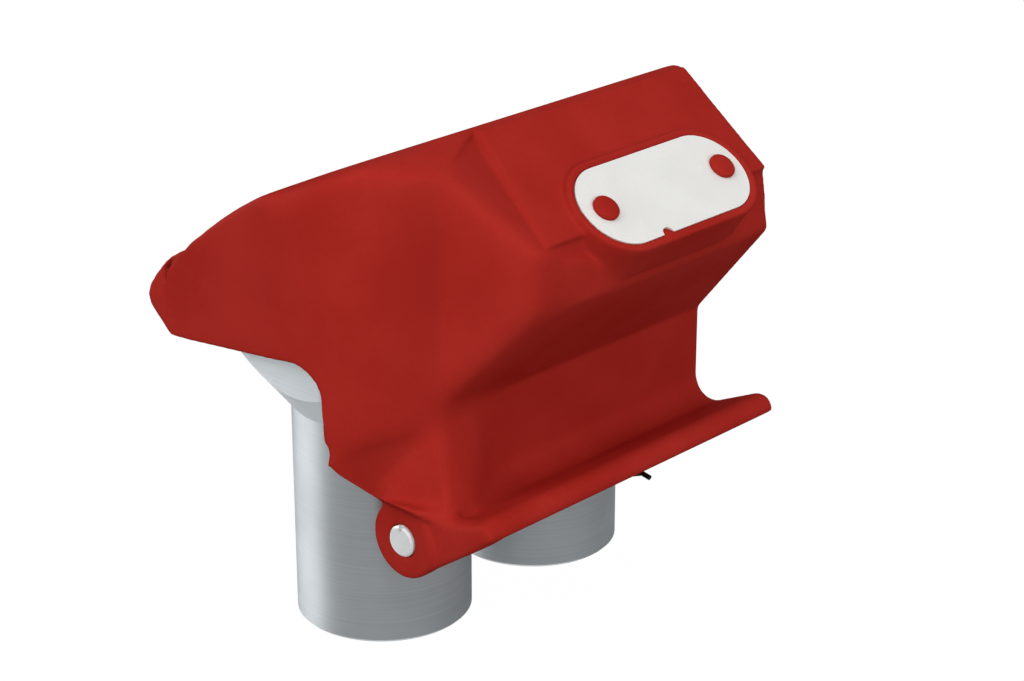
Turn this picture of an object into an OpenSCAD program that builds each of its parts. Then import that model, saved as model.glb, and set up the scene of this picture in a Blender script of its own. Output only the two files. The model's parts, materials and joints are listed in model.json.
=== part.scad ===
// Twin-port quick coupling: an aluminium body with two vertical ports under a hinged, sprung cast hood.
// X runs along the hinge, Y points to the open rear, Z is up. The origin is midway between the port ends.

/* [Ports] */
// Outside diameter of a port
port_d = 45; // [43:0.5:47]
// Distance between the port axes
port_pitch = 56.7; // [55:0.1:58]
// Straight length of a port below its flare
port_len = 58; // [54:0.5:60]
// Core diameter of the hose thread in a port end
thread_d = 20.4; // [16:0.2:22]
// Depth of the hose thread
thread_len = 16; // [12:0.5:20]
// Diameter of the valve chamber
chamber_d = 26; // [25:0.2:28]

/* [Body] */
// Height of the coupling face
deck_z = 84; // [82:0.5:86]
// Thickness of the deck edge
deck_t = 6; // [4:0.5:9]
// Radial growth of the port flare for each millimetre of height
flare_rate = 0.8; // [0.7:0.02:0.9]
// Distance from the port line to the front of the deck
deck_front = 25.5; // [24.5:0.1:26]
// Distance from the port line to the rear of the deck
deck_rear = 28; // [24:0.5:28.5]
// Gap between the deck ends and the hood end walls
deck_gap = 3.9; // [2:0.1:6]

/* [Hood] */
// Wall thickness of the hood casting
wall = 2.6; // [2.2:0.1:2.8]
// Distance from the middle to the outside of the left end
left_end = 64; // [62:0.5:68]
// Distance from the middle to the right end
right_end = 60; // [59.2:0.1:63]
// Height of the ridge
ridge_z = 130.3; // [127:0.1:134]
// Distance of the ridge in front of the port line
ridge_y = 22; // [20:0.1:24]
// Slope of the label panel
panel_angle = 37.5; // [35:0.5:40]
// Distance of the brow in front of the port line
brow_y = 53.4; // [52:0.1:55]
// Height of the lower edge of the brow
brow_z = 92.8; // [91:0.1:95]
// Slope of the undercut below the brow
undercut_angle = 51; // [49:0.5:53]
// Distance of the recessed front wall in front of the port line
front_wall_y = 31.1; // [30.9:0.1:32]
// Inside radius of the gutter at the foot of the front wall
gutter_r = 5.7; // [4.5:0.1:6]
// Height of the gutter centre
gutter_z = 46; // [45.8:0.1:48]
// Slope of the thumb lip
lip_angle = 28.3; // [24:0.5:32]
// Distance of the lip tip in front of the port line
lip_y = 56.8; // [55:0.1:60]

/* [Hinge] */
// Diameter of the hinge pin
pin_d = 8; // [7:0.1:8]
// Distance of the pin axis in front of the port line
pin_y = 28.2; // [28:0.1:28.6]
// Height of the pin axis
pin_z = 34.5; // [33.5:0.1:35]
// Radius of a hood eye
eye_r = 9.9; // [8.5:0.1:9.9]
// Distance from the middle to the outer face of an eye
eye_x = 49.6; // [48:0.1:51]
// Width of an eye
eye_w = 6; // [4:0.1:6.5]
// Radius of a body lug
lug_r = 6; // [5.6:0.1:6.1]
// Width of a body lug
lug_w = 8; // [6:0.1:9]
// Length of pin that stands proud of an eye
pin_proud = 0.6; // [0.6:0.1:3]
// Wire diameter of the closing spring
closer_wire = 1.3; // [1:0.1:1.4]
// Turns of the closing spring
closer_turns = 8; // [5:1:10]

/* [Name plate] */
// Length of the blank plate
plate_l = 58; // [55:0.5:60]
// Height of the blank plate
plate_h = 23.3; // [20:0.1:25]
// Thickness of the plate
plate_t = 1; // [0.6:0.1:1.4]
// Distance from the middle to the plate centre
plate_x = 20.9; // [19:0.1:24]
// Distance between the rivets
rivet_pitch = 44.2; // [38:0.1:46]
// Diameter of a rivet head
rivet_d = 7; // [6:0.1:8]
// Height of a rivet head
rivet_head = 1.6; // [1.2:0.1:2]
// Diameter of a rivet shank
shank_d = 3.1; // [2.6:0.1:3.6]
// Length of a rivet shank behind the panel face
shank_len = 4; // [3:0.1:5]

/* [Valve] */
// Diameter of the sleeve pocket below the coupling face
pocket_d = 34; // [33:0.1:35]
// Depth of the sleeve pocket
pocket_len = 18; // [17:0.5:19]
// Height of the valve sleeve
sleeve_len = 9.6; // [9:0.1:10]
// Diameter of the plunger stem
stem_d = 16; // [14:0.2:17]
// Diameter of the plunger head
head_d = 22.4; // [21:0.2:23]
// Travel of a plunger
plunger_travel = 5; // [3:0.5:6]
// Wire diameter of a valve spring
valve_wire = 1.6; // [1.2:0.1:2]
// Turns of a valve spring
valve_turns = 6; // [4:1:7]
// Height that a face seal stands above the coupling face
seal_proud = 2.5; // [1.5:0.1:3.5]

/* [Hidden] */
$fn = 96;
// Running clearance on a radius
fit = 0.05;
// Small overlap that joins two shapes of one piece
eps = 0.2;
port_r = port_d / 2;
port_x = port_pitch / 2;
deck_left = left_end - wall - deck_gap;
deck_right = right_end - wall - deck_gap;
corner_r = left_end - port_x;
pocket_z = deck_z - pocket_len;
ring_t = 1.2;
ring_z = pocket_z + sleeve_len + 0.1;
seal_z = ring_z + ring_t + 0.1;
o_ring_r = 1;
head_t = 6;
head_z = pocket_z - head_t - 0.1;
washer_t = 1;
lug_x = eye_x - eye_w - washer_t - 0.4 - lug_w;
red = "firebrick";

// Lays a profile drawn in Y and Z along X
module along_x(x0, x1) translate([x0, 0, 0]) rotate([90, 0, 90]) linear_extrude(x1 - x0) children();

// A rod along X on the hinge axis
module on_pin(r, x0, x1) translate([x0, -pin_y, pin_z]) rotate([0, 90, 0]) cylinder(r = r, h = x1 - x0);

// Places a shape on both ports
module at_port(side) translate([side * port_x, 0, 0]) children();

// A round wire swept along a list of points
function unit(v) = v / norm(v);
module wire(path, r, sides = 8) {
    n = len(path);
    rings = [
        for (i = [0 : n - 1])
            let (t = unit(path[min(i + 1, n - 1)] - path[max(i - 1, 0)]))
            let (helper = abs(t.x) < 0.9 ? [1, 0, 0] : [0, 1, 0])
            let (u = unit(cross(t, helper)))
            let (w = cross(t, u))
            [for (k = [0 : sides - 1]) path[i] + r * (cos(360 * k / sides) * u + sin(360 * k / sides) * w)]
    ];
    quads = [
        for (i = [0 : n - 2])
            for (k = [0 : sides - 1])
                [i * sides + k, i * sides + (k + 1) % sides,
                 (i + 1) * sides + (k + 1) % sides, (i + 1) * sides + k]
    ];
    first = [for (k = [sides - 1 : -1 : 0]) k];
    last = [for (k = [0 : sides - 1]) (n - 1) * sides + k];
    polyhedron([for (ring = rings) for (p = ring) p], concat([first], quads, [last]));
}

// Body

deck_corner = 8;
deck_front_corner = 17;
chamfer = 0.8;
module deck_outline() {
    difference() {
        translate([-deck_left, -deck_front]) square([deck_left + deck_right, deck_front + deck_rear]);
        for (side = [-1, 1]) {
            end_x = side > 0 ? deck_right : -deck_left;
            translate([end_x, deck_rear]) corner_cut(deck_corner, -side, -1);
            translate([end_x, -deck_front]) corner_cut(deck_front_corner, -side, 1);
        }
    }
}

// The waste outside a rounded corner that points along (-sx, -sy)
module corner_cut(r, sx, sy) {
    difference() {
        translate([sx > 0 ? -eps : -r, sy > 0 ? -eps : -r]) square(r + eps);
        translate([sx * r, sy * r]) circle(r);
    }
}

module port_outside() {
    top_r = port_r + flare_rate * (deck_z - deck_t - port_len);
    rotate_extrude()
        polygon([
            [0, 0], [port_r - chamfer, 0], [port_r, chamfer], [port_r, port_len],
            [top_r, deck_z - deck_t], [0, deck_z - deck_t]
        ]);
}

module lug(side) {
    x0 = side > 0 ? lug_x : -lug_x - lug_w;
    web_t = 2 * lug_r - 3;
    on_pin(lug_r, x0, x0 + lug_w);
    translate([x0, -pin_y, pin_z - lug_r]) cube([lug_w, pin_y - port_r * 0.7, web_t]);
}

module body() {
    color("silver")
        difference() {
            union() {
                intersection() {
                    union() for (side = [-1, 1]) at_port(side) port_outside();
                    linear_extrude(deck_z) deck_outline();
                }
                translate([0, 0, deck_z - deck_t]) linear_extrude(deck_t) deck_outline();
                for (side = [-1, 1]) lug(side);
            }
            for (side = [-1, 1]) at_port(side) {
                translate([0, 0, -eps]) cylinder(d = thread_d, h = thread_len + 2 * eps);
                translate([0, 0, thread_len]) cylinder(d = chamber_d, h = deck_z);
                translate([0, 0, pocket_z]) cylinder(d = pocket_d, h = pocket_len + eps);
                translate([0, 0, ring_z]) cylinder(r = pocket_d / 2 + 1.05, h = ring_t);
            }
            on_pin(pin_d / 2 + 0.01, -left_end, left_end);
            translate([-closer_hook, -closer_tail_y, closer_tail_z])
                rotate([0, 90, 0]) cylinder(r = closer_wire / 2 + 0.2, h = closer_hook);
        }
}

// Hood

roof_angle = 24;
roof_r = 143;
roof_flat = 15.4;
roof_turn = 17;
roof_y0 = -ridge_y + roof_flat;
roof_z0 = ridge_z - roof_flat * tan(roof_angle);
function roof_point(a) = [
    roof_y0 + roof_r * (sin(roof_angle + a) - sin(roof_angle)),
    roof_z0 - roof_r * (cos(roof_angle) - cos(roof_angle + a))
];
roof_line = [for (a = [0 : roof_turn / 6 : roof_turn]) roof_point(a)];
roof_end = roof_point(roof_turn);
brow_lean = 3;
panel_run = brow_y - brow_lean - ridge_y;
panel_low_z = ridge_z - panel_run * tan(panel_angle);
wall_top_z = brow_z - (brow_y - front_wall_y) * tan(undercut_angle);
rear_y = roof_end.x + 4;

// Section over the right port, with the brow and the recess; it runs on below the floor of the hood
module brow_section() {
    offset(r = 3) offset(delta = -3)
        polygon(concat(
            [[rear_y, -30], [-front_wall_y, -30], [-front_wall_y, wall_top_z], [-brow_y, brow_z],
             [-brow_y + brow_lean, panel_low_z], [-ridge_y, ridge_z]],
            roof_line, [[rear_y, roof_end.y - 4]]));
}

// Round the left shoulder the roof leans forward and turns down to the brow in one large radius
crown_angle = 15.7;
shoulder_r = 29;
module crown() {
    reach = 200;
    crown_z = ridge_z - (brow_y - ridge_y) * tan(crown_angle);
    offset(r = shoulder_r) offset(delta = -shoulder_r)
        polygon([
            [reach, -reach], [-brow_y, -reach], [-brow_y, crown_z],
            [reach, crown_z + (reach + brow_y) * tan(crown_angle)]
        ]);
}

// Section under the left roof, either straight down or with the undercut of the brow
module left_section(undercut) {
    front = -brow_y - 20;
    foot = undercut ? [[-front_wall_y, -30], [-front_wall_y, wall_top_z], [-brow_y, brow_z], [front, brow_z]]
        : [[front, -30]];
    intersection() {
        crown();
        polygon(concat(
            [[rear_y, -30]], foot,
            [[front, ridge_z - (front + ridge_y) * tan(roof_angle)], [-ridge_y, ridge_z]], roof_line,
            [[rear_y, roof_end.y - 4]]));
    }
}

cheek_x = 24;
crease_angle = 70;
facet_angle = 58;
crease = [-port_x - corner_r * cos(crease_angle), -corner_r * sin(crease_angle)];
module dome_outline() {
    depth = rear_y + 10;
    intersection() {
        union() {
            at_port(-1) circle(corner_r);
            translate([-left_end, 0]) square([left_end, depth]);
        }
        translate([-left_end - 1, -brow_y]) square([left_end + 1 + crease.x, brow_y + depth]);
    }
    polygon([
        crease, [-cheek_x, -front_wall_y], [-cheek_x, depth], [crease.x - 1, depth], [crease.x - 1, 0]
    ]);
}

module brow_outline() {
    run = (brow_y + 5 + crease.y) / tan(facet_angle);
    polygon([
        crease, [crease.x + run, -brow_y - 5], [right_end, -brow_y - 5], [right_end, rear_y + 10],
        [crease.x, rear_y + 10]
    ]);
}

// A flat facet falls from the left shoulder to the label panel
shoulder_x = 20.6;
shoulder_skew = 9;
shoulder_drop = 13.5;
module shoulder_waste(inset) {
    size = 120;
    translate([-shoulder_x, -ridge_y, ridge_z]) rotate([panel_angle, 0, 0]) translate([0, -18.7, 0])
        rotate([0, 0, -shoulder_skew]) rotate([0, shoulder_drop, 0])
        translate([-size / 2, -size / 2, -inset]) cube([size, size, size / 2]);
}

module upright(inset) translate([0, 0, -20]) linear_extrude(ridge_z + 20) offset(delta = -inset) children();

module hood_mass(inset) {
    difference() {
        union() {
            intersection() {
                along_x(-left_end - 1, -cheek_x + eps) offset(delta = -inset) left_section(false);
                upright(inset) dome_outline();
            }
            intersection() {
                along_x(-left_end, 0) offset(delta = -inset) left_section(true);
                upright(inset) brow_outline();
            }
        }
        shoulder_waste(inset);
    }
    intersection() {
        along_x(-left_end, right_end) offset(delta = -inset) brow_section();
        upright(inset) brow_outline();
    }
}

// Waste below the hood: under the end walls, between the legs and below the front wall
floor_rear_z = 74.5;
floor_front_z = 79.5;
leg_y = 14;
leg_fillet = 8;
fold_z = 54;
fold_rise = 10;
module floor_waste() {
    along_x(-left_end - 2, right_end + 2)
        offset(r = leg_fillet) offset(delta = -leg_fillet)
        polygon([
            [90, -60], [90, floor_rear_z - 2.5], [rear_y, floor_rear_z], [-leg_y + 1.5, floor_front_z],
            [-leg_y, fold_z], [-leg_y - 2, -60]
        ]);
    along_x(-left_end - 2, crease.x - 1)
        polygon([
            [-leg_y + 5, -40], [-leg_y + 5, fold_z - 3], [-leg_y - 2.6, fold_z],
            [crease.y, fold_z + fold_rise], [-90, fold_z + fold_rise], [-90, -40]
        ]);
    translate([crease.x - 2, -90, -40]) cube([-cheek_x - crease.x + 3, 90 - leg_y, gutter_z + 35.5]);
    translate([-cheek_x, -90, -40]) cube([cheek_x + right_end + 2, 90 - leg_y, gutter_z + 40]);
}

// The rear rim; beside the left end wall its upper half falls back behind the edge of the wall
rim_back = 1.6;
module rim_section() {
    offset(r = 1) offset(delta = -1)
        polygon([
            [roof_end.x - 5, roof_end.y + 4], [rear_y - 1.4, roof_end.y - 2.6],
            [rear_y + 2.4, roof_end.y - 4.3], [rear_y + 5.2, roof_end.y - 6.2],
            [rear_y + 8, roof_end.y - 8.6], [rear_y + 10.5, roof_end.y - 11.6],
            [rear_y + 12.6, roof_end.y - 15], [rear_y + 13, roof_end.y - 17.6],
            [rear_y + 12.2, roof_end.y - 20], [rear_y + 9.2, floor_rear_z + 3.5],
            [rear_y + 5, floor_rear_z - 0.3], [rear_y - wall, floor_rear_z + 0.3],
            [rear_y - wall, roof_end.y - 9], [roof_end.x - 6, roof_end.y]
        ]);
}

module rim() {
    difference() {
        along_x(-left_end, right_end) rim_section();
        intersection() {
            along_x(-left_end - 1, 0)
                polygon([
                    [rear_y - 3, roof_end.y], [rear_y + 1.1, roof_end.y - 5.4],
                    [rear_y + 4.7, roof_end.y - 8.8], [rear_y + 6.3, roof_end.y - 12],
                    [rear_y + 5.8, roof_end.y - 14.7], [rear_y + 5, roof_end.y - 18],
                    [rear_y + 15, roof_end.y - 18], [rear_y + 15, roof_end.y]
                ]);
            translate([-left_end, rear_y + 20, roof_end.y]) rotate([90, 0, 0]) linear_extrude(40)
                polygon([[-1, 2], [-1, -17], [0, -17], [rim_back, -7], [rim_back, 2]]);
        }
    }
}

lip_x = eye_x - 1;
lip_nose_r = 3.9;
lip_t = 2.2;
gutter_centre = [-front_wall_y - gutter_r, gutter_z];
nose = [-lip_y + lip_nose_r, gutter_z - 3.2];
module lip_section() {
    centre = gutter_centre;
    under_r = gutter_r + lip_t;
    foot = centre + gutter_r * [-sin(lip_angle), -cos(lip_angle)];
    under = centre + under_r * [-sin(lip_angle), -cos(lip_angle)];
    intersection() {
        translate(centre) difference() {
            circle(under_r);
            circle(gutter_r);
        }
        polygon([
            centre, centre + [30, 0], centre + [30, -30], centre + [0, -30], under + (under - foot) * 5
        ]);
    }
    polygon([foot, under, nose + [-lip_nose_r, -0.4], nose + lip_nose_r * [sin(lip_angle), cos(lip_angle)]]);
    intersection() {
        translate(nose) circle(lip_nose_r);
        translate([nose.x - 10, nose.y - 0.4]) square(20);
    }
}

// A small block with its outer face on the round left corner
module on_corner(angle, z, w)
    at_port(-1) rotate(180 + angle) translate([corner_r - wall, -w / 2, z]) cube([wall, w, 2]);

module left_leg() {
    gusset_z = pin_z + 8;
    gusset_x = eye_x - 2;
    front_y = pin_y + lug_r + 1.2;
    hull() {
        on_corner(27, fold_z - 1, 2);
        on_corner(40, fold_z + 0.35 * fold_rise - 1, 2);
        on_corner(52, fold_z + 0.7 * fold_rise - 1, 2);
        on_corner(crease_angle, fold_z + fold_rise - 1, 2);
        translate([-gusset_x, -front_y, gusset_z - 1.2]) cube([wall, front_y - pin_y + 7.5, 1.2]);
        translate([-gusset_x, -front_y - 6, gusset_z - 2]) cube([9, 6, 2]);
    }
    hull() {
        on_corner(crease_angle, fold_z + fold_rise - 1, 2);
        translate([-gusset_x + 8, -front_y - 6, gusset_z - 3.5]) cube([1, 6, 3.5]);
        translate([-cheek_x - 1, -front_wall_y, fold_z]) cube([1, wall, fold_rise]);
        translate([-cheek_x + 3, -front_wall_y, gusset_z - 1.2]) cube([1, wall, 2]);
    }
    along_x(-lip_x, -eye_x + eye_w)
        polygon([
            [-pin_y, gusset_z], [-pin_y, pin_z - 3], [-pin_y - 4.9, pin_z - 8.3], [-lip_y, nose.y - 0.4],
            nose + [0, 3], [-42, gusset_z + 1.5]
        ]);
}

module right_leg() {
    hull() {
        translate([right_end - wall, -front_wall_y, fold_z]) cube([wall, front_wall_y - leg_y, 4]);
        translate([eye_x - wall, -pin_y - 1.2, pin_z + clip_r + 0.8]) cube([wall, 10, 3]);
    }
}

module eye(side) {
    x0 = side > 0 ? eye_x - eye_w : -eye_x;
    intersection() {
        on_pin(eye_r, x0, x0 + eye_w);
        translate([x0, -pin_y - eye_r, pin_z - eye_r]) cube([eye_w, 2 * eye_r, eye_r + 8]);
    }
}

// The label panel's own frame: X along the hood, Y up the slope, Z out of the panel
module on_panel() {
    translate([plate_x, -brow_y + brow_lean + 2, panel_low_z + 2 * tan(panel_angle)])
        rotate([panel_angle, 0, 0]) children();
}

module obround(l, h, t) {
    linear_extrude(t) {
        square([l - h, h], center = true);
        for (side = [-1, 1]) translate([side * (l - h) / 2, 0]) circle(d = h);
    }
}

// The raised pad of the label panel ends in a small step above the brow
pad_t = 0.8;
module panel_pad() {
    low = -panel_run / cos(panel_angle) - 0.9;
    translate([0, -ridge_y, ridge_z]) rotate([panel_angle, 0, 0]) translate([0, 0, -wall])
        linear_extrude(wall + pad_t)
        polygon([
            [-shoulder_x + 2.7, -1.6], [right_end, -1.6], [right_end, low],
            [-shoulder_x + low * tan(shoulder_skew) + 2.9, low]
        ]);
}

boss_edge = 2.4;
boss_z = pad_t + 2.1;
plate_z = boss_z - 1.4;
nib_x = 9;
nib_r = 1.6;
shank_r = shank_d / 2 + fit;
module hood() {
    boss_depth = 9;
    color(red)
        difference() {
            union() {
                difference() {
                    hood_mass(0);
                    hood_mass(wall);
                    floor_waste();
                }
                along_x(-lip_x, right_end) lip_section();
                rim();
                left_leg();
                right_leg();
                panel_pad();
                for (side = [-1, 1]) eye(side);
                on_panel() translate([0, 0, -boss_depth])
                    obround(plate_l + 2 * boss_edge, plate_h + 2 * boss_edge, boss_depth + boss_z);
            }
            on_panel() translate([0, 0, plate_z]) difference() {
                obround(plate_l + 0.4, plate_h + 0.4, 5);
                translate([-nib_x, -plate_h / 2, -1]) cylinder(r = nib_r, h = plate_t + 1.2);
            }
            for (side = [-1, 1])
                on_panel() translate([side * rivet_pitch / 2, 0, -shank_len - 0.5])
                    cylinder(r = shank_r, h = shank_len + boss_z + 1);
            on_pin(pin_d / 2 + fit, -left_end, left_end);
            along_x(0, right_end + 1) translate(gutter_centre) circle(gutter_r);
        }
}

// Hinge

clip_x = eye_x + 0.2;
clip_t = 1;
clip_r = pin_d / 2 + 2.2;
module hinge_pin() {
    groove_r = pin_d / 2 - 0.8;
    pin_chamfer = 0.5;
    color("gainsboro")
        difference() {
            union() {
                on_pin(pin_d / 2, -eye_x - pin_proud + pin_chamfer, clip_x + clip_t + 1.5);
                translate([-eye_x - pin_proud, -pin_y, pin_z]) rotate([0, 90, 0])
                    cylinder(r1 = pin_d / 2 - pin_chamfer, r2 = pin_d / 2, h = pin_chamfer);
            }
            difference() {
                on_pin(pin_d, clip_x, clip_x + clip_t);
                on_pin(groove_r, clip_x - 1, clip_x + clip_t + 1);
            }
            translate([-eye_x - pin_proud - 1, -pin_y - 0.6, pin_z + pin_d / 2 - 1.3]) cube([2.2, 1.2, 3]);
        }
}

module pin_clip() {
    color("dimgray")
        difference() {
            on_pin(clip_r, clip_x + 0.05, clip_x + clip_t - 0.05);
            on_pin(pin_d / 2 - 0.75, clip_x - 1, clip_x + clip_t + 1);
            translate([clip_x - 1, -pin_y - 1.6, pin_z]) cube([clip_t + 2, 3.2, 10]);
        }
}

module hinge_washer(side) {
    x0 = side > 0 ? eye_x - eye_w - 0.2 - washer_t : -eye_x + eye_w + 0.2;
    color("lightgray")
        difference() {
            on_pin(lug_r - 0.1, x0, x0 + washer_t);
            on_pin(pin_d / 2 + fit, x0 - 1, x0 + washer_t + 1);
        }
}

// The closing spring winds on the pin between the ports; one end hooks into the left port, the other bears
// under the lip
closer_r = pin_d / 2 + 0.25 + closer_wire / 2;
closer_pitch = closer_wire + 0.5;
closer_end_x = 7.9;
closer_x = closer_end_x - closer_pitch * closer_turns;
closer_steps = 14;
closer_tail_y = 8;
closer_tail_z = pin_z - closer_r - 1;
closer_hook = port_x - port_r + 5;
function closer_point(a) = [
    closer_x + closer_pitch * a / 360,
    -pin_y - closer_r * sin(a),
    pin_z - closer_r * cos(a)
];
module closing_spring() {
    coil = [for (a = [0 : 360 / closer_steps : closer_turns * 360]) closer_point(a)];
    start = coil[0];
    end = coil[len(coil) - 1];
    tail_x = port_x - port_r - 3;
    tail = [
        [-closer_hook + 0.2, -closer_tail_y, closer_tail_z], [-tail_x - 0.8, -closer_tail_y, closer_tail_z],
        [-tail_x, -closer_tail_y - 0.8, closer_tail_z], [-tail_x, -closer_tail_y - 5, closer_tail_z + 0.1],
        start + [0, 5, -0.2]
    ];
    lip_under = nose.y - 0.4 - closer_wire / 2 - 0.1;
    lip_leg = [
        end + [0, -5, 1], [closer_end_x, -lip_y + 9, lip_under - 3], [closer_end_x, -lip_y, lip_under - 0.2],
        [closer_end_x, -lip_y - 1.2, lip_under]
    ];
    color("black") wire(concat(tail, coil, lip_leg), closer_wire / 2);
}

// Name plate

module name_plate() {
    color("whitesmoke")
        on_panel() difference() {
            translate([0, 0, plate_z]) obround(plate_l, plate_h, plate_t);
            translate([-nib_x, -plate_h / 2, plate_z - 1]) cylinder(r = nib_r + 0.2, h = plate_t + 2);
            for (side = [-1, 1])
                translate([side * rivet_pitch / 2, 0, plate_z - 1]) cylinder(r = shank_r, h = plate_t + 2);
        }
}

module plate_rivets() {
    color(red)
        for (side = [-1, 1])
            on_panel() translate([side * rivet_pitch / 2, 0, 0]) {
                translate([0, 0, -shank_len]) cylinder(d = shank_d, h = shank_len + plate_z + plate_t + eps);
                translate([0, 0, plate_z + plate_t]) cylinder(d = rivet_d, h = rivet_head);
            }
}

// Valves

module face_seal(side) {
    seal_top = deck_z + seal_proud;
    inner_r = stem_d / 2 + 1.6;
    outer_r = pocket_d / 2 - 0.1;
    color("dimgray")
        at_port(side)
        rotate_extrude()
        polygon([
            [inner_r, seal_z], [outer_r, seal_z], [outer_r, deck_z - 0.5], [outer_r - 1.5, seal_top],
            [outer_r - 4, seal_top], [inner_r, deck_z]
        ]);
}

module valve_sleeve(side) {
    groove_z = pocket_z + sleeve_len / 2;
    color("darkgoldenrod")
        at_port(side)
        difference() {
            translate([0, 0, pocket_z]) cylinder(r = pocket_d / 2 - fit, h = sleeve_len);
            translate([0, 0, pocket_z - 1]) cylinder(r = stem_d / 2 + fit, h = sleeve_len + 2);
            translate([0, 0, groove_z - 1.4]) difference() {
                cylinder(d = pocket_d + 2, h = 2.8);
                translate([0, 0, -1]) cylinder(r = pocket_d / 2 - 2 * o_ring_r - 0.05, h = 5);
            }
        }
}

module sleeve_ring(side) {
    color("gray")
        at_port(side)
        difference() {
            translate([0, 0, ring_z + 0.05]) cylinder(r = pocket_d / 2 + 0.95, h = ring_t - 0.1);
            translate([0, 0, ring_z - 1]) cylinder(r = pocket_d / 2 - 2.2, h = ring_t + 2);
            translate([-3, -pocket_d, ring_z - 1]) cube([6, pocket_d, ring_t + 2]);
        }
}

module sleeve_o_ring(side) {
    color("black")
        at_port(side)
        translate([0, 0, pocket_z + sleeve_len / 2])
        rotate_extrude() translate([pocket_d / 2 - o_ring_r - 0.02, 0]) circle(o_ring_r, $fn = 24);
}

// The plunger closes the port from below; three flats along its stem let the air past
module valve_plunger(side) {
    stem_top = deck_z + seal_proud - 0.5;
    flat_r = stem_d / 2 - 1.8;
    color("goldenrod")
        at_port(side)
        union() {
            translate([0, 0, head_z]) cylinder(d = head_d, h = head_t);
            translate([0, 0, head_z - 3]) cylinder(r = head_d / 2 - valve_wire - 1.2, h = 3 + eps);
            difference() {
                translate([0, 0, head_z + head_t - eps])
                    cylinder(d = stem_d, h = stem_top - head_z - head_t);
                for (a = [0 : 120 : 240])
                    rotate(a) translate([flat_r, -stem_d, head_z + head_t + 0.5])
                        cube([stem_d, 2 * stem_d, 60]);
            }
        }
}

module valve_spring(side) {
    low = thread_len + valve_wire / 2 + 0.1;
    high = head_z - valve_wire / 2 - 0.1;
    coil_r = head_d / 2 - valve_wire / 2 - 0.2;
    steps = 14;
    path = [
        for (i = [0 : valve_turns * steps])
            let (a = 360 * i / steps)
            [coil_r * cos(a), coil_r * sin(a), low + (high - low) * i / (valve_turns * steps)]
    ];
    color("slategray") at_port(side) wire(path, valve_wire / 2);
}

body();
hood();
hinge_pin();
pin_clip();
hinge_washer(-1);  // hinge_washer_left
hinge_washer(1);  // hinge_washer_right
closing_spring();
name_plate();
plate_rivets();
face_seal(-1);  // face_seal_left
face_seal(1);  // face_seal_right
valve_sleeve(-1);  // valve_sleeve_left
valve_sleeve(1);  // valve_sleeve_right
sleeve_ring(-1);  // sleeve_ring_left
sleeve_ring(1);  // sleeve_ring_right
sleeve_o_ring(-1);  // sleeve_o_ring_left
sleeve_o_ring(1);  // sleeve_o_ring_right
valve_plunger(-1);  // valve_plunger_left
valve_plunger(1);  // valve_plunger_right
valve_spring(-1);  // valve_spring_left
valve_spring(1);  // valve_spring_right
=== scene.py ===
import json
import math

import bmesh
import bpy
import numpy as np
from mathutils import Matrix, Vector


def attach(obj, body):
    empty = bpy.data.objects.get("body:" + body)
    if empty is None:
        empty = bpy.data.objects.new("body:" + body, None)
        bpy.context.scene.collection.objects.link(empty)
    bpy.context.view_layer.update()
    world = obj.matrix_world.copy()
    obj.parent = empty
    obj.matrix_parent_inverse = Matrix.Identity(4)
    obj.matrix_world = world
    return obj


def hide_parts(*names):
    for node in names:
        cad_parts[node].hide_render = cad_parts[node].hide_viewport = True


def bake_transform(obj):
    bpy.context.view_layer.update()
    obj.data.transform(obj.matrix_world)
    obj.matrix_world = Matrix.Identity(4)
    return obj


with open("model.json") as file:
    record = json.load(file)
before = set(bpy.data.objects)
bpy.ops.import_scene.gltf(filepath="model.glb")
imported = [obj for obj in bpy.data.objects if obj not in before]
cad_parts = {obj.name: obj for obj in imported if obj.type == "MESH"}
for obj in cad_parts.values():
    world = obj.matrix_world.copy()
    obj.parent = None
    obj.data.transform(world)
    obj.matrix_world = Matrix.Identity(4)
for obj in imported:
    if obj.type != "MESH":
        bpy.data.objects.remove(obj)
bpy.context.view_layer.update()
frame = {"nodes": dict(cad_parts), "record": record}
nodes = frame["nodes"]
scene = bpy.context.scene
mm = 0.001
# y and z of the hinge pin in millimetres, and the sides of a spring's wire
pinLine = (-28.2, 34.5)
wireSides = 12
print("frame loaded:", len(nodes), "nodes")


# a wrapped socket, so that masks and node chains read as plain expressions
class Wire:
    def __init__(self, tree, socket):
        self.tree = tree
        self.socket = socket

    def node(self, kind, settings=None, values=None, out=0):
        made = self.tree.nodes.new(kind)
        for key, value in (settings or {}).items():
            setattr(made, key, value)
        for key, value in (values or {}).items():
            if isinstance(value, Wire):
                self.tree.links.new(value.socket, made.inputs[key])
            else:
                made.inputs[key].default_value = value
        return Wire(self.tree, made.outputs[out])

    def maths(self, operation, a, b):
        return self.node("ShaderNodeMath", {"operation": operation}, {0: a, 1: b})

    def __add__(self, other):
        return self.maths("ADD", self, other)

    def __radd__(self, other):
        return self.maths("ADD", other, self)

    def __sub__(self, other):
        return self.maths("SUBTRACT", self, other)

    def __rsub__(self, other):
        return self.maths("SUBTRACT", other, self)

    def __mul__(self, other):
        return self.maths("MULTIPLY", self, other)

    def __rmul__(self, other):
        return self.maths("MULTIPLY", other, self)

    # Mix keeps sockets for every data type: 6 and 7 take its two colours, and 2 gives the mixed one
    def mixed(self, low, high):
        low, high = (end if isinstance(end, Wire) else (*end, 1) for end in (low, high))
        return self.node("ShaderNodeMix", {"data_type": "RGBA"}, {0: self, 6: low, 7: high}, 2)

    # Map Range: 0 is the value, 1 and 2 are the range that becomes 0 to 1
    def between(self, low, high, kind="SMOOTHSTEP"):
        return self.node("ShaderNodeMapRange", {"interpolation_type": kind}, {0: self, 1: low, 2: high})


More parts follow.
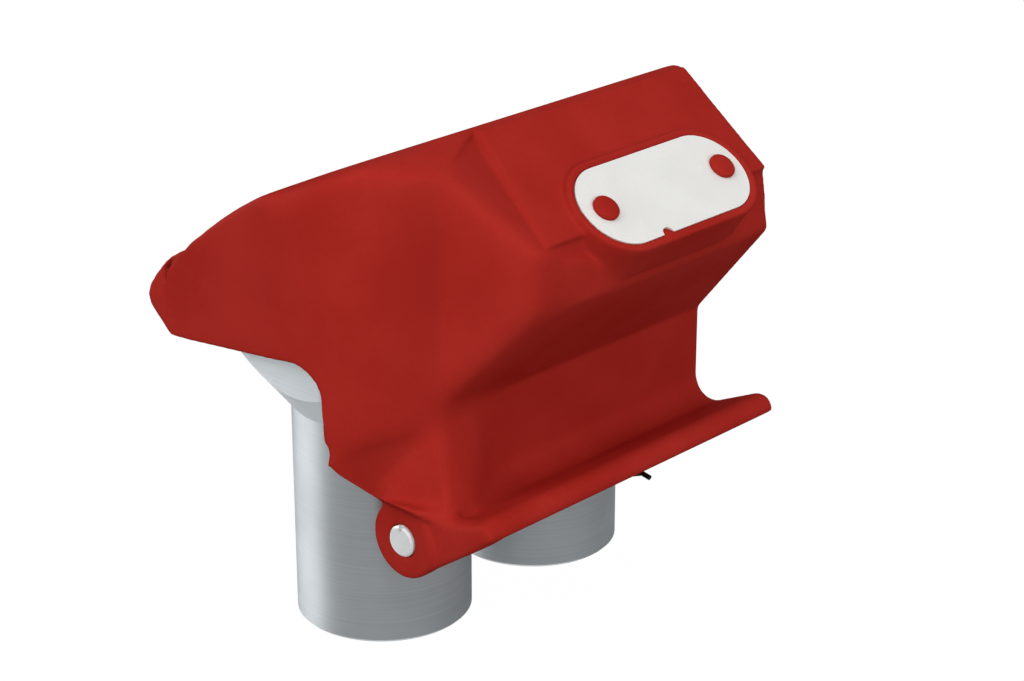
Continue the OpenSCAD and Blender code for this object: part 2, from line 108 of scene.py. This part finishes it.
class Finish:
    def __init__(self, name, **constants):
        self.material = bpy.data.materials.new(name)
        self.material.use_nodes = True
        tree = self.material.node_tree
        self.shader = tree.nodes["Principled BSDF"]
        self.place = Wire(tree, tree.nodes.new("ShaderNodeTexCoord").outputs["Object"])
        for key, value in constants.items():
            self.shader.inputs[key.replace("_", " ")].default_value = value

    def set(self, key, wire):
        wire.tree.links.new(wire.socket, self.shader.inputs[key])

    def noise(self, scale, detail, stretch=None):
        where = self.place
        if stretch:
            where = where.node("ShaderNodeMapping", None, {"Vector": where, "Scale": stretch})
        return where.node("ShaderNodeTexNoise", None, {"Vector": where, "Scale": scale, "Detail": detail})

    def bump(self, height, strength, distance):
        self.set("Normal", height.node("ShaderNodeBump", None, {
            "Height": height, "Strength": strength, "Distance": distance}))


# most of a noise lies between these two values
noiseSpread = (0.3, 0.7)


def redPaint():
    tone = {
        "deep": (0.340, 0.018, 0.0125), "bright": (0.385, 0.0235, 0.017),
        "cloud": 45, "grain": 900, "speck": 2790, "rough": 0.46, "coat": 0.02,
    }
    paint = Finish("redPaint", Specular_IOR_Level=0.0, Coat_Roughness=0.4)
    cloud = paint.noise(tone["cloud"], detail=3)
    grain = paint.noise(tone["grain"], detail=2)
    speck = paint.noise(tone["speck"], detail=1)
    shade = (cloud * 0.8 + grain * 0.2).between(*noiseSpread)
    paint.set("Base Color", shade.mixed(tone["deep"], tone["bright"]))
    paint.set("Roughness", tone["rough"] + 0.10 * cloud + 0.05 * speck)
    paint.set("Coat Weight", tone["coat"] + 0.03 * cloud)
    paint.bump(grain * 0.7 + speck * 0.3, strength=0.12, distance=0.12 * mm)
    return paint.material


def turnedAluminium():
    tone = {
        "dull": (0.595, 0.635, 0.66), "clean": (0.70, 0.74, 0.765),
        "cloud": 55, "groove": (18, 18, 2600), "rough": 0.46,
    }
    metal = Finish("turnedAluminium", Metallic=1.0, Anisotropic=0.75, Anisotropic_Rotation=0.25)
    groove = metal.noise(1.0, detail=2, stretch=tone["groove"])
    cloud = metal.noise(tone["cloud"], detail=3)
    shade = (groove * 0.5 + cloud * 0.5).between(*noiseSpread)
    metal.set("Base Color", shade.mixed(tone["dull"], tone["clean"]))
    metal.set("Roughness", tone["rough"] + 0.08 * groove + 0.05 * cloud)
    metal.bump(groove, strength=0.10, distance=0.04 * mm)
    return metal.material


def plainMetal(name, dull, clean, rough, metallic=1.0):
    tone = {"cloud": 90, "scratch": 700}
    metal = Finish(name, Metallic=metallic)
    cloud = metal.noise(tone["cloud"], detail=3)
    scratch = metal.noise(tone["scratch"], detail=2)
    metal.set("Base Color", (cloud * 0.6 + scratch * 0.4).between(*noiseSpread).mixed(dull, clean))
    metal.set("Roughness", rough + 0.12 * cloud + 0.05 * scratch)
    metal.bump(scratch, strength=0.1, distance=0.04 * mm)
    return metal.material


def whiteEnamel():
    tone = {
        "dull": (0.79, 0.785, 0.76), "clean": (0.84, 0.835, 0.81), "cloud": 80, "fleck": 1600, "rough": 0.38,
    }
    enamel = Finish("whiteEnamel", Coat_Roughness=0.2)
    cloud = enamel.noise(tone["cloud"], detail=3)
    fleck = enamel.noise(tone["fleck"], detail=1)
    shade = (cloud * 0.7 + fleck * 0.3).between(*noiseSpread)
    enamel.set("Base Color", shade.mixed(tone["dull"], tone["clean"]))
    enamel.set("Roughness", tone["rough"] + 0.12 * cloud)
    enamel.bump(fleck, strength=0.06, distance=0.05 * mm)
    return enamel.material


def sealRubber():
    tone = {
        "dark": (0.018, 0.018, 0.019), "worn": (0.035, 0.035, 0.036), "cloud": 120, "grain": 1800, "rough": 0.55,
    }
    rubber = Finish("sealRubber", Specular_IOR_Level=0.3)
    cloud = rubber.noise(tone["cloud"], detail=3)
    grain = rubber.noise(tone["grain"], detail=2)
    rubber.set("Base Color", cloud.between(*noiseSpread).mixed(tone["dark"], tone["worn"]))
    rubber.set("Roughness", tone["rough"] + 0.2 * cloud)
    rubber.bump(grain, strength=0.15, distance=0.06 * mm)
    return rubber.material


finishes = {
    "red_paint": redPaint(),
    "aluminium": turnedAluminium(),
    "steel": plainMetal("zincSteel", (0.74, 0.76, 0.76), (0.84, 0.85, 0.85), rough=0.3, metallic=0.15),
    "spring_steel": plainMetal("blackSpring", (0.012, 0.012, 0.013), (0.03, 0.03, 0.03), rough=0.4),
    "plate": whiteEnamel(),
    "brass": plainMetal("turnedBrass", (0.50, 0.34, 0.12), (0.66, 0.48, 0.21), rough=0.26),
    "rubber": sealRubber(),
}
for part in frame["record"]["subparts"]:
    node = nodes[part["node"]]
    node.data.materials.clear()
    node.data.materials.append(finishes[part["material_slot"]])
print("finishes made:", len(finishes))


def added(name, data):
    made = bpy.data.objects.new(name, data)
    scene.collection.objects.link(made)
    return made


# a piece rides one body, or, when it is given as spanning a joint from one body to the next, only has its place
# baked into its mesh
def settle(piece, body, slotName, *stoodFor):
    if isinstance(body, dict):
        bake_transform(piece)
    else:
        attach(piece, body)
    if stoodFor:
        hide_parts(*stoodFor)
    piece.data.materials.clear()
    piece.data.materials.append(finishes[slotName])


def plainMesh(piece):
    shown = piece.evaluated_get(bpy.context.evaluated_depsgraph_get())
    done = bpy.data.meshes.new_from_object(shown)
    piece.modifiers.clear()
    piece.data = done


def weld(mesh, distance):
    work = bmesh.new()
    work.from_mesh(mesh)
    bmesh.ops.remove_doubles(work, verts=work.verts, dist=distance)
    bmesh.ops.recalc_face_normals(work, faces=work.faces)
    work.to_mesh(mesh)
    work.free()


def ease(value, low, high):
    t = np.clip((value - low) / (high - low), 0, 1)
    return t * t * (3 - 2 * t)


# the hood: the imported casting, remeshed, pressed and relaxed, so that its edges roll over as a casting's do;
# a press is a triangle, a direction and a reach, and flattens what stands before the triangle, looking that way;
# a zone is a rod (start, end, radius, feather) and the blur that rounds the casting along it; rows in millimetres
legWay = (0.63, 0.65, -0.43)
crisp = 0.85
casting = {
    "weld": 0.01 * mm, "voxel": 0.38 * mm, "passes": 2, "accuracy": 1e-5, "most": 180000, "plain": 1.0,
    "pinClear": 4.12,
    "presses": [
        ("facet", ((-18.2, -22.3, 128.4), (-39.3, -34.0, 127.0), (-23.4, -50.7, 108.3)), (-0.23, 0.62, -0.75), 4),
        ("fold", ((-66.3, -10.6, 54.0), (-43.3, -32.7, 63.4), (-50.6, -19.7, 42.1)), legWay, 12),
        ("leg front", ((-43.3, -32.7, 63.4), (-53.3, -23.3, 45.1), (-44.9, -36.9, 43.6)), legWay, 9),
        ("rim groove", ((-60.4, 37.9, 94.6), (-60.8, 39.4, 88.0), (-60.4, 40.3, 91.0)), (1, 0, 0), 3.2),
    ],
    "zones": [
        ("dome edge", (-60, -4, 121), (-44, -28, 124), 11, 7, 5.5),
        ("roof edge", (-60, 32, 99), (-60, 10, 115), 8, 7, 1.5),
        ("shoulder", (-40, -36, 120), (-28, -54, 98), 9, 6, 4.5),
        ("crease", (-41, -34, 108), (-41, -34, 66), 3, 3, 1.5),
        ("brow corner", (-38, -34, 70), (-28, -52, 92), 5, 5, 4),
        ("cheek", (-30, -33, 66), (-33, -38, 46), 6, 5, 4),
        ("cheek side", (-23, -31, 60), (-25, -35, 41), 5, 5, 4),
        ("fold top", (-60, -17, 57), (-43, -33, 63), 2, 3, 3),
        ("fold side", (-43, -33, 63), (-52, -24, 46), 2, 2.5, 2.5),
        ("leg front", (-43, -33, 63), (-45, -37, 46), 3, 3, 3.5),
        ("leg foot", (-53, -24, 46), (-45, -37, 44), 1.5, 2, 2.2),
        ("lip end", (-48, -41, 44), (-48, -56, 45), 3, 3, 2.5),
        ("brow front", (-4, -57, 97), (58, -57, 97), 4, 3, 2.5),
        ("pad", (-10, -26, 127), (60, -26, 127), 4, 2, crisp),
        ("pad low", (-22, -50, 108), (60, -50, 108), 3, 2, crisp),
        ("facet roof", (-18, -23, 129), (-32, -30, 128), 2, 2, crisp),
        ("facet right", (-18, -23, 129), (-23, -51, 108), 3, 2, crisp),
        ("eye", (-50, -28, 35), (-42, -28, 35), 10.5, 1.5, crisp),
        ("rim", (-64, 33, 96), (-64, 42, 80), 8, 3, crisp),
        ("rim groove", (-62, 38.6, 94), (-62, 39.6, 88.5), 1.2, 0.8, 0.35),
        ("floor edge", (-62, 40, 75), (-62, 0, 79), 4, 2, crisp),
    ],
}


def blur(points):
    amount = np.full(len(points), casting["plain"])
    for _, start, end, radius, feather, value in casting["zones"]:
        start, run = np.array(start), np.subtract(end, start)
        away = points / mm - start
        along = np.clip(away @ run / (run @ run), 0, 1)
        far = np.linalg.norm(away - along[:, None] * run, axis=1) - radius
        amount += (value - amount) * (1 - ease(far, 0, feather))
    return amount


def press(points):
    for _, corners, way, reach in casting["presses"]:
        first, second, third = (np.array(c) * mm for c in corners)
        way = np.array(way) / np.linalg.norm(way)
        axes = np.stack([second - first, third - first, way], 1)
        u, v, depth = np.linalg.solve(axes, (points - first).T)
        before = (u >= 0) & (v >= 0) & (u + v <= 1) & (depth < 0) & (depth > -reach * mm)
        points[before] -= depth[before, None] * way


# each pass solves x + Lx = x0 by conjugate gradients, where L is the mesh's edge Laplacian weighted by the blur
# of its ends; a pass blurs by the root of twice the weight, counted in voxels
def relax(mesh):
    count = len(mesh.vertices)
    points = np.empty(count * 3)
    mesh.vertices.foreach_get("co", points)
    points = points.reshape(-1, 3)
    ends = np.empty(len(mesh.edges) * 2, np.int64)
    mesh.edges.foreach_get("vertices", ends)
    a, b = ends.reshape(-1, 2).T
    press(points)
    stiff = blur(points) * mm / (math.sqrt(2 * casting["passes"]) * casting["voxel"])
    weight = stiff[a] * stiff[b]
    diagonal = 1 + np.bincount(a, weight, count) + np.bincount(b, weight, count)

    def applied(x):
        return diagonal[:, None] * x - np.stack([
            np.bincount(a, weight * x[b, k], count) + np.bincount(b, weight * x[a, k], count)
            for k in range(3)], 1)

    for _ in range(casting["passes"]):
        rest = points - applied(points)
        ready = rest / diagonal[:, None]
        way = ready
        size = (rest * ready).sum()
        goal = size * casting["accuracy"]
        while size > goal:
            bent = applied(way)
            step = size / (way * bent).sum()
            points = points + step * way
            rest = rest - step * bent
            ready = rest / diagonal[:, None]
            last, size = size, (rest * ready).sum()
            way = ready + size / last * way

    # the bore keeps clear of the pin
    clear = casting["pinClear"] * mm
    pinY, pinZ = (v * mm for v in pinLine)
    away = points[:, 1:] - (pinY, pinZ)
    reach = np.hypot(*away.T)
    tight = reach < clear
    points[tight, 1:] = (pinY, pinZ) + away[tight] * (clear / reach[tight])[:, None]
    mesh.vertices.foreach_set("co", points.ravel())
    mesh.update()


def hoodCasting():
    hood = added("hoodCasting", nodes["hood"].data.copy())
    weld(hood.data, casting["weld"])
    remesh = hood.modifiers.new("grain", "REMESH")
    remesh.mode = "VOXEL"
    remesh.voxel_size = casting["voxel"]
    plainMesh(hood)
    relax(hood.data)
    triangles = 2 * len(hood.data.polygons)
    thin = hood.modifiers.new("thin", "DECIMATE")
    thin.ratio = min(1.0, casting["most"] / triangles)
    plainMesh(hood)
    hood.data.shade_smooth()
    settle(hood, "hood", "red_paint", "hood")
    hood.data.update()
    print("hood casting:", len(hood.data.polygons), "faces")


hoodCasting()


# small parts that repeat or follow a path are grown by Geometry Nodes
def recipe(name, sockets):
    tree = bpy.data.node_groups.new(name, "GeometryNodeTree")
    tree.interface.new_socket("Geometry", in_out="OUTPUT", socket_type="NodeSocketGeometry")
    keys = {}
    for label, kind in {**sockets, "Material": "Material"}.items():
        made = tree.interface.new_socket(label, in_out="INPUT", socket_type="NodeSocket" + kind)
        keys[label] = made.identifier
    source = tree.nodes.new("NodeGroupInput")
    return tree, keys, {label: Wire(tree, source.outputs[label]) for label in keys}


def close(shape, material):
    real = shape.node("GeometryNodeRealizeInstances", None, {"Geometry": shape})
    smooth = shape.node("GeometryNodeSetShadeSmooth", None, {"Geometry": real})
    dressed = shape.node("GeometryNodeSetMaterial", None, {"Geometry": smooth, "Material": material})
    shape.tree.links.new(dressed.socket, shape.tree.nodes.new("NodeGroupOutput").inputs[0])


def grow(name, tree, keys, values):
    piece = added(name, bpy.data.meshes.new(name))
    growth = piece.modifiers.new("growth", "NODES")
    growth.node_group = tree
    for label, value in values.items():
        growth[keys[label]] = value
    plainMesh(piece)
    print(name + ":", len(piece.data.polygons), "faces")
    return piece


def tube(path, radius):
    ring = path.node("GeometryNodeCurvePrimitiveCircle", None, {"Resolution": wireSides, "Radius": radius})
    return path.node("GeometryNodeCurveToMesh", None, {
        "Curve": path, "Profile Curve": ring, "Fill Caps": True})


# valve springs: one on each port axis, pressed short by its plunger; coil and wire are radii, and the pitch of
# the closed end turns is in wire radii
valveSpring = {
    "axes": {"left": -28.35, "right": 28.35}, "coil": 10.2, "wire": 0.8, "low": 16.9, "high": 59.0,
    "turns": 6, "steps": 40, "closed": 0.92, "closedPitch": 2.05,
}


def valveSprings():
    v = valveSpring
    tree, keys, put = recipe("valveSprings", {
        "Axis": "Float", "Coil radius": "Float", "Wire radius": "Float", "Low": "Float", "Height": "Float",
        "Turns": "Float"})
    coil = put["Turns"].node("GeometryNodeCurveSpiral", None, {
        "Resolution": v["steps"], "Rotations": put["Turns"], "Start Radius": put["Coil radius"],
        "End Radius": put["Coil radius"], "Height": 0.0})
    along = coil.node("GeometryNodeSplineParameter")
    endShare = v["closed"] / v["turns"]
    endRise = v["closed"] * v["closedPitch"] * v["wire"] / (v["high"] - v["low"])
    lift = (along.between(0.0, endShare, "LINEAR") * endRise
            + along.between(endShare, 1 - endShare, "LINEAR") * (1 - 2 * endRise)
            + along.between(1 - endShare, 1.0, "LINEAR") * endRise)
    rise = coil.node("ShaderNodeCombineXYZ", None, {
        "X": put["Axis"], "Z": put["Low"] + put["Height"] * lift})
    risen = coil.node("GeometryNodeSetPosition", None, {"Geometry": coil, "Offset": rise})
    close(tube(risen, put["Wire radius"]), put["Material"])
    held = 2 * v["wire"]
    for side, axis in v["axes"].items():
        piece = grow("valveSpring" + side.title(), tree, keys, {
            "Axis": axis * mm, "Coil radius": v["coil"] * mm, "Wire radius": v["wire"] * mm,
            "Low": v["low"] * mm, "Height": (v["high"] - v["low"]) * mm, "Turns": float(v["turns"]),
            "Material": finishes["spring_steel"]})
        settle(piece, {
            "a": "base", "start": (axis * mm, 0, (v["low"] + held) * mm),
            "b": "plunger_" + side, "end": (axis * mm, 0, (v["high"] - held) * mm),
        }, "spring_steel", "valve_spring_" + side)


valveSprings()


# name plate rivets: a turned head with a rolled edge, on the two holes of the plate; the profile is radius, height
rivet = {
    "count": 2, "pitch": 44.2, "place": (20.9, -48.4, 110.043), "slope": 37.5, "steps": 48, "weld": 0.002 * mm,
    "profile": [(0, -4), (1.4, -4), (1.55, -3.8), (1.55, 2.5), (3.3, 2.5), (3.42, 2.56), (3.5, 2.7), (3.5, 3.3),
                (3.44, 3.52), (3.28, 3.7), (3.0, 3.82), (2.0, 3.98), (1.0, 4.07), (0, 4.1)],
}


def turnedRivet():
    work = bmesh.new()
    line = [work.verts.new((r * mm, 0, z * mm)) for r, z in rivet["profile"]]
    edges = [work.edges.new(pair) for pair in zip(line, line[1:])]
    bmesh.ops.spin(work, geom=line + edges, axis=(0, 0, 1), cent=(0, 0, 0), angle=2 * math.pi,
                   steps=rivet["steps"])
    mesh = bpy.data.meshes.new("rivetPattern")
    work.to_mesh(mesh)
    work.free()
    weld(mesh, rivet["weld"])
    return bpy.data.objects.new("rivetPattern", mesh)


def plateRivets():
    pattern = turnedRivet()
    tree, keys, put = recipe("plateRivets", {
        "Rivet": "Object", "Pitch": "Float", "Place": "Vector", "Slope": "Float"})
    one = put["Pitch"].node("GeometryNodeObjectInfo", None, {"Object": put["Rivet"]}, "Geometry")
    step = one.node("ShaderNodeCombineXYZ", None, {"X": put["Pitch"]})
    start = one.node("ShaderNodeCombineXYZ", None, {"X": -0.5 * put["Pitch"]})
    holes = one.node("GeometryNodeMeshLine", None, {
        "Count": rivet["count"], "Start Location": start, "Offset": step})
    pair = one.node("GeometryNodeInstanceOnPoints", None, {"Points": holes, "Instance": one})
    tilt = one.node("ShaderNodeCombineXYZ", None, {"X": put["Slope"]})
    laid = one.node("GeometryNodeTransform", None, {
        "Geometry": pair, "Translation": put["Place"], "Rotation": tilt})
    close(laid, put["Material"])
    piece = grow("plateRivets", tree, keys, {
        "Rivet": pattern, "Pitch": rivet["pitch"] * mm, "Place": [v * mm for v in rivet["place"]],
        "Slope": math.radians(rivet["slope"]), "Material": finishes["red_paint"]})
    bpy.data.objects.remove(pattern)
    settle(piece, "hood", "red_paint", "plate_rivets")


plateRivets()


# closing spring: one wire from the hook in the left port, round the pin and out under the lip;
# coil and wire are radii, drops and rises are upright, runs go along the leg or the tail
closer = {
    "coil": 4.9, "wire": 0.65, "turns": 8, "pitch": 1.8, "end": 7.9, "steps": 28, "bend": 1.5, "bendSteps": 5,
    "hookX": 10.85, "hookInset": 0.2, "hookY": -8.0, "tailX": 2.85, "tailDrop": 1, "tailRun": 5, "tailRise": 0.1,
    "leadRun": 5, "leadDrop": 0.2, "leadRise": 1, "lipLow": 41.65, "legRun": 10.2, "legDrop": 3,
    "tipY": -58.0, "tipRun": 2.5, "tipDrop": 0.5,
}


def closerLine():
    c = closer
    pinY, pinZ = pinLine
    first = c["end"] - c["pitch"] * c["turns"]
    coil = []
    for k in range(c["turns"] * c["steps"] + 1):
        turn = 2 * math.pi * k / c["steps"]
        coil.append((first + c["pitch"] * turn / (2 * math.pi), pinY - c["coil"] * math.sin(turn),
                     pinZ - c["coil"] * math.cos(turn)))
    low = pinZ - c["coil"] - c["tailDrop"]
    tail = [(-c["hookX"] + c["hookInset"], c["hookY"], low),
            (-c["tailX"], c["hookY"], low),
            (-c["tailX"], c["hookY"] - c["tailRun"], low + c["tailRise"]),
            (first, pinY + c["leadRun"], pinZ - c["coil"] - c["leadDrop"])]
    leg = [(c["end"], pinY - c["leadRun"], pinZ - c["coil"] + c["leadRise"]),
           (c["end"], c["tipY"] + c["legRun"], c["lipLow"] - c["legDrop"]),
           (c["end"], c["tipY"] + c["tipRun"], c["lipLow"]),
           (c["end"], c["tipY"], c["lipLow"] - c["tipDrop"])]
    line = bpy.data.curves.new("closerLine", "CURVE")
    line.dimensions = "3D"
    spline = line.splines.new("POLY")
    points = tail + coil + leg
    spline.points.add(len(points) - 1)
    spline.points.foreach_set("co", [v for x, y, z in points for v in (x * mm, y * mm, z * mm, 1)])
    return bpy.data.objects.new("closerLine", line), first


def closingSpring():
    c = closer
    pinY, pinZ = pinLine
    pattern, first = closerLine()
    tree, keys, put = recipe("closingSpring", {"Line": "Object", "Wire radius": "Float", "Bend": "Float"})
    path = put["Bend"].node("GeometryNodeObjectInfo", None, {"Object": put["Line"]}, "Geometry")
    bent = path.node("GeometryNodeFilletCurve", {"mode": "POLY"}, {
        "Curve": path, "Count": c["bendSteps"], "Radius": put["Bend"], "Limit Radius": True})
    close(tube(bent, put["Wire radius"]), put["Material"])
    piece = grow("closingSpring", tree, keys, {
        "Line": pattern, "Wire radius": c["wire"] * mm, "Bend": c["bend"] * mm,
        "Material": finishes["spring_steel"]})
    bpy.data.objects.remove(pattern)
    settle(piece, {
        "a": "base", "start": (first * mm, pinY * mm, pinZ * mm),
        "b": "hood", "end": ((c["end"] - c["wire"]) * mm, pinY * mm, pinZ * mm),
    }, "spring_steel", "closing_spring")


closingSpring()


def aim(thing, way):
    thing.rotation_mode = "QUATERNION"
    thing.rotation_quaternion = way.to_track_quat("-Z", "Y")


# camera: fitted to the photograph, 1024 by 681
lens = {
    "sensor": 36, "focal": 90.55, "near": 0.01, "elevation": 21.82, "turn": 42.79,
    "place": (-442.46, -428.16, 310.96),
}
camera = added("camera", bpy.data.cameras.new("camera"))
scene.camera = camera
camera.data.sensor_width = lens["sensor"]
camera.data.lens = lens["focal"]
camera.data.clip_start = lens["near"]
camera.location = Vector(lens["place"]) * mm
up, turn = math.radians(lens["elevation"]), math.radians(lens["turn"])
aim(camera, Vector((math.cos(turn) * math.cos(up), math.sin(turn) * math.cos(up), -math.sin(up))))
print("camera set")


# studio: a floor that glows for camera and mirror rays, a surround that is full white only to the camera, and four
# soft lamps; mirrors see the floor dimmed, except where they look at it steeply; a lamp's row is its place, size,
# watts and the kind of ray that it is hidden from
studio = {
    "white": (1, 1, 1), "floorSize": 6.0, "floorColour": (0.32, 0.32, 0.32, 1), "floorRough": 0.9,
    "glow": 0.95, "shine": 1.04, "surround": 0.48, "mirrorSteep": (0.6, 0.9), "mirrorDim": (0.24, 0.24, 0.24),
    "aim": (0, 0, 0.07),
    "lamps": [
        ("key", (-0.8, -0.2, 0.9), 0.9, 4.6, "visible_glossy"),
        ("side", (-1.1, 0.2, 0.5), 0.9, 3.6, "visible_glossy"),
        ("front", (-0.2, -1.2, 0.6), 0.9, 6.3, "visible_glossy"),
        ("stripe", (-0.55, 1.1, 0.2), 1.3, 17.0, "visible_diffuse"),
    ],
}


def rays(tree):
    path = tree.nodes.new("ShaderNodeLightPath")
    return [Wire(tree, path.outputs["Is " + kind + " Ray"]) for kind in ("Camera", "Glossy", "Transmission")]


def buildSurround():
    world = bpy.data.worlds.new("surround")
    scene.world = world
    world.use_nodes = True
    tree = world.node_tree
    back = tree.nodes["Background"]
    back.inputs["Color"].default_value = (*studio["white"], 1)
    camRay = rays(tree)[0]
    level = studio["surround"] + (1 - studio["surround"]) * camRay
    tree.links.new(level.socket, back.inputs["Strength"])


def paperFloor():
    paper = Finish("paper", Base_Color=studio["floorColour"], Roughness=studio["floorRough"],
                   Specular_IOR_Level=0.0)
    tree = paper.material.node_tree
    camRay, glossy, through = rays(tree)
    seen = camRay.maths("MAXIMUM", camRay, camRay.maths("MAXIMUM", glossy, through))
    incoming = camRay.node("ShaderNodeNewGeometry", None, None, "Incoming")
    steep = camRay.node("ShaderNodeSeparateXYZ", None, {0: incoming}, "Z")
    mirrored = steep.between(*studio["mirrorSteep"]).mixed(studio["mirrorDim"], studio["white"])
    light = camRay.node("ShaderNodeEmission", None, {
        "Color": glossy.mixed(studio["white"], mirrored), "Strength": studio["shine"]})
    surface = camRay.node("ShaderNodeMixShader", None, {
        0: seen * studio["glow"], 1: Wire(tree, paper.shader.outputs[0]), 2: light})
    tree.links.new(surface.socket, tree.nodes["Material Output"].inputs["Surface"])
    return paper.material


def buildFloor():
    half = studio["floorSize"] / 2
    corners = [(-half, -half, 0), (half, -half, 0), (half, half, 0), (-half, half, 0)]
    sheet = bpy.data.meshes.new("floor")
    sheet.from_pydata(corners, [], [(0, 1, 2, 3)])
    floor = added("floor", sheet)
    sheet.materials.append(paperFloor())


def buildLamps():
    for name, place, size, power, hidden in studio["lamps"]:
        lamp = bpy.data.lights.new(name, "AREA")
        lamp.size = size
        lamp.energy = power
        holder = added(name, lamp)
        setattr(holder, hidden, False)
        holder.location = place
        aim(holder, Vector(studio["aim"]) - Vector(place))


buildSurround()
buildFloor()
buildLamps()
scene.view_settings.view_transform = "Standard"
print("studio built")
